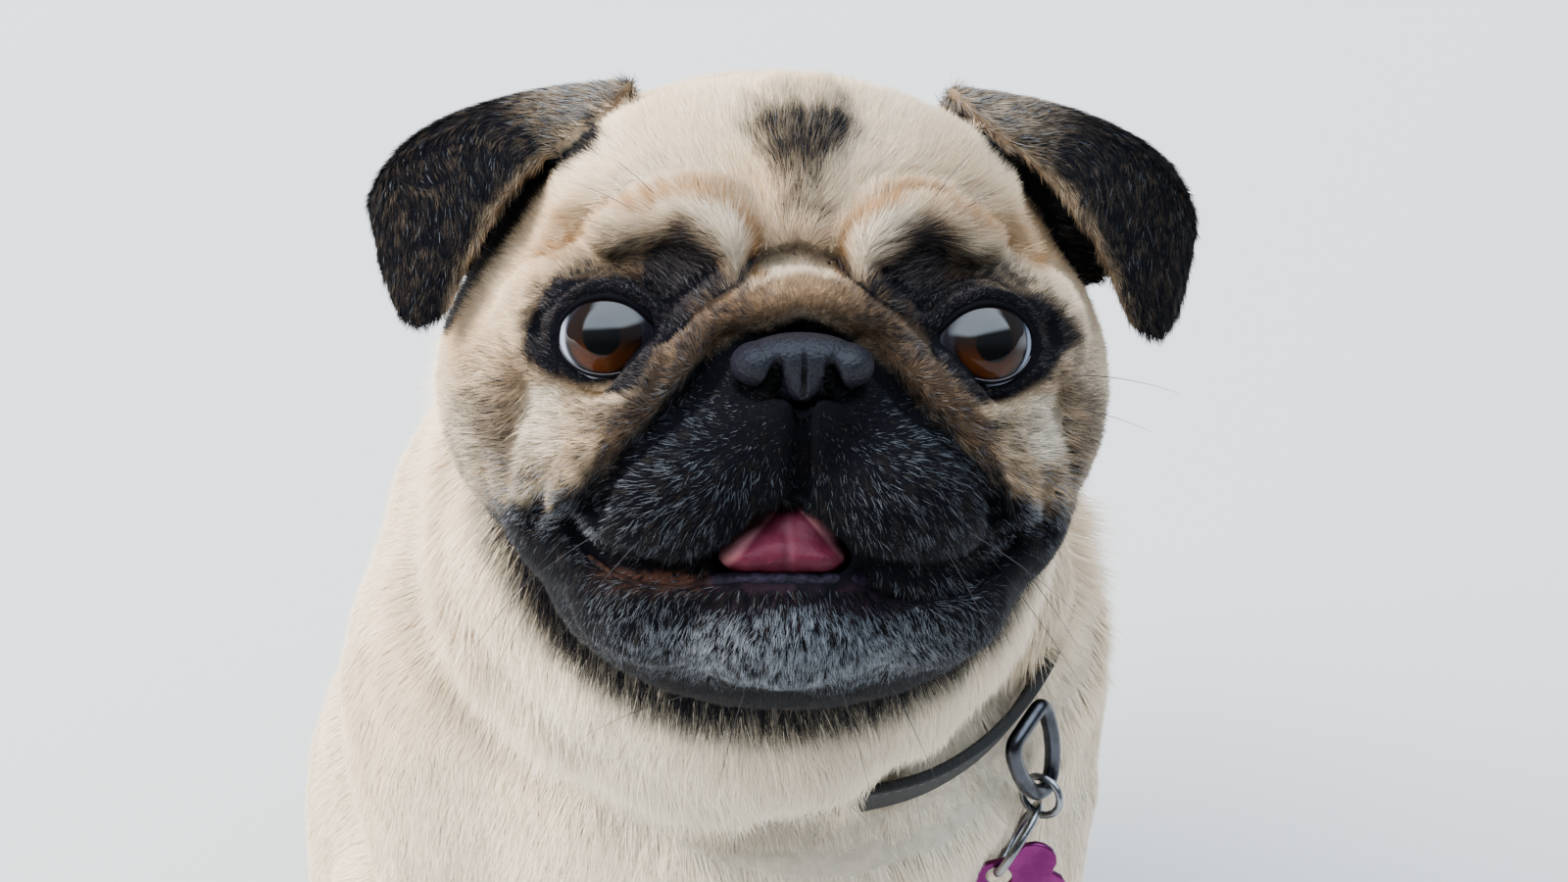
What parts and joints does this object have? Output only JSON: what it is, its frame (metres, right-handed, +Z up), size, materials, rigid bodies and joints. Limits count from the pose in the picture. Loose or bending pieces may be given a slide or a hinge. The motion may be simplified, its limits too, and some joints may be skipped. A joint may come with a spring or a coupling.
{
  "type": "pug",
  "caption": "Life-size still model of a sitting fawn pug that looks up with its tongue just showing, in a collar with a ring and a blank tag.",
  "frame": {"origin": "on the floor under the middle of the dog's bounding box", "axes": "+Z up, -Y the way the dog's chest faces, +X to the dog's left"},
  "size_m": [0.2236, 0.3362, 0.3824],
  "materials": {
    "fawn coat": null,
    "cream coat": "short soft fur, stored under fabric",
    "black mask": "very short fur and dark skin, stored under fabric",
    "nose leather": "moist, fine grained",
    "eye": "wet and clear, stored as solid glass",
    "tongue": "moist flesh, stored under rubber",
    "collar strap": "woven webbing",
    "ring metal": "worn dark steel",
    "purple tag": "purple anodised, blank"
  },
  "bodies": {
    "root": {"head": "fawn coat", "jaw": "black mask", "nose": "nose leather", "tongue": "tongue", "eye_left": "eye", "eye_right": "eye", "ear_left": "black mask", "ear_right": "black mask", "neck": "cream coat", "torso": "cream coat", "foreleg_left": "cream coat", "foreleg_right": "cream coat", "forepaw_left": "cream coat", "forepaw_right": "cream coat", "hind_leg_left": "fawn coat", "hind_leg_right": "fawn coat", "hind_paw_left": "cream coat", "hind_paw_right": "cream coat", "tail": "fawn coat", "collar": "collar strap", "collar_ring": "ring metal", "small_ring": "ring metal", "split_ring": "ring metal", "tag": "purple tag"}
  },
  "joints": []
}
